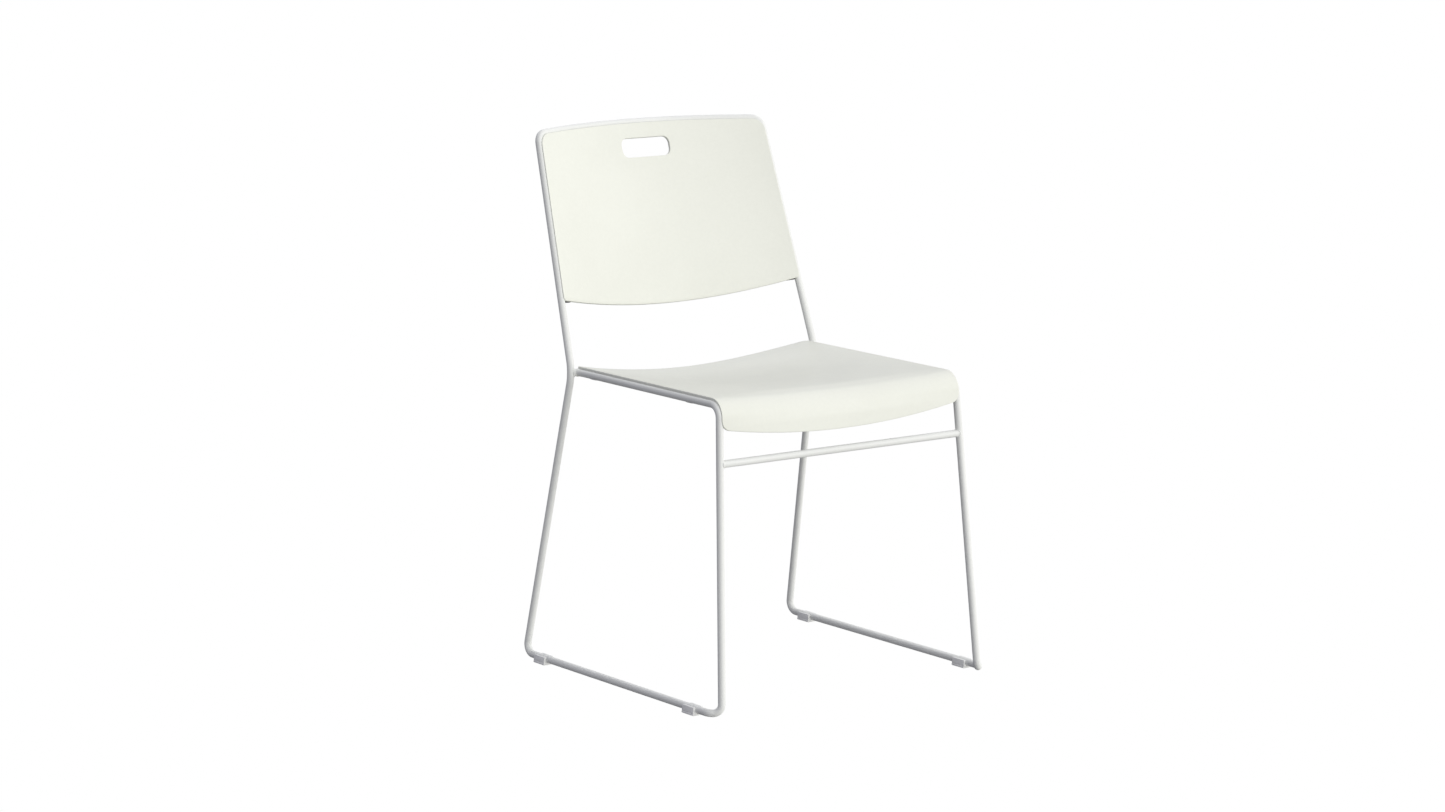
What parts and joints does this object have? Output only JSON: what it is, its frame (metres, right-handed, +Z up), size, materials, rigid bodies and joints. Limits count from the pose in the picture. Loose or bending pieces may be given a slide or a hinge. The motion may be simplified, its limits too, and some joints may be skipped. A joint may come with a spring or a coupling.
{
  "type": "stacking chair",
  "caption": "Sled-base stacking chair: bent steel-rod frame carrying a dished plastic seat with a turned-down front and a concave back with a hand hole.",
  "frame": {"origin": "on the floor, at the middle of the chair's overall footprint", "axes": "+X across the chair, -Y to the front of the seat, +Z up"},
  "size_m": [0.5234, 0.559, 0.8103],
  "materials": {
    "frame_paint": "satin white powder coat on round steel rod",
    "shell_plastic": "fine-grained warm white injection-moulded plastic",
    "glide_plastic": "smooth white nylon",
    "clip_plastic": "black plastic",
    "screw_steel": "zinc-plated steel"
  },
  "bodies": {
    "root": {"left_frame_rod": "frame_paint", "right_frame_rod": "frame_paint", "front_crossbar": "frame_paint", "rear_crossbar": "frame_paint", "seat_shell": "shell_plastic", "back_shell": "shell_plastic", "front_left_glide": "glide_plastic", "front_right_glide": "glide_plastic", "rear_left_glide": "glide_plastic", "rear_right_glide": "glide_plastic", "front_left_seat_tab": "frame_paint", "front_right_seat_tab": "frame_paint", "rear_left_seat_tab": "frame_paint", "rear_right_seat_tab": "frame_paint", "upper_left_back_tab": "frame_paint", "upper_right_back_tab": "frame_paint", "lower_left_back_clip": "clip_plastic", "lower_right_back_clip": "clip_plastic", "seat_screws": "screw_steel", "back_screws": "screw_steel"}
  },
  "joints": []
}
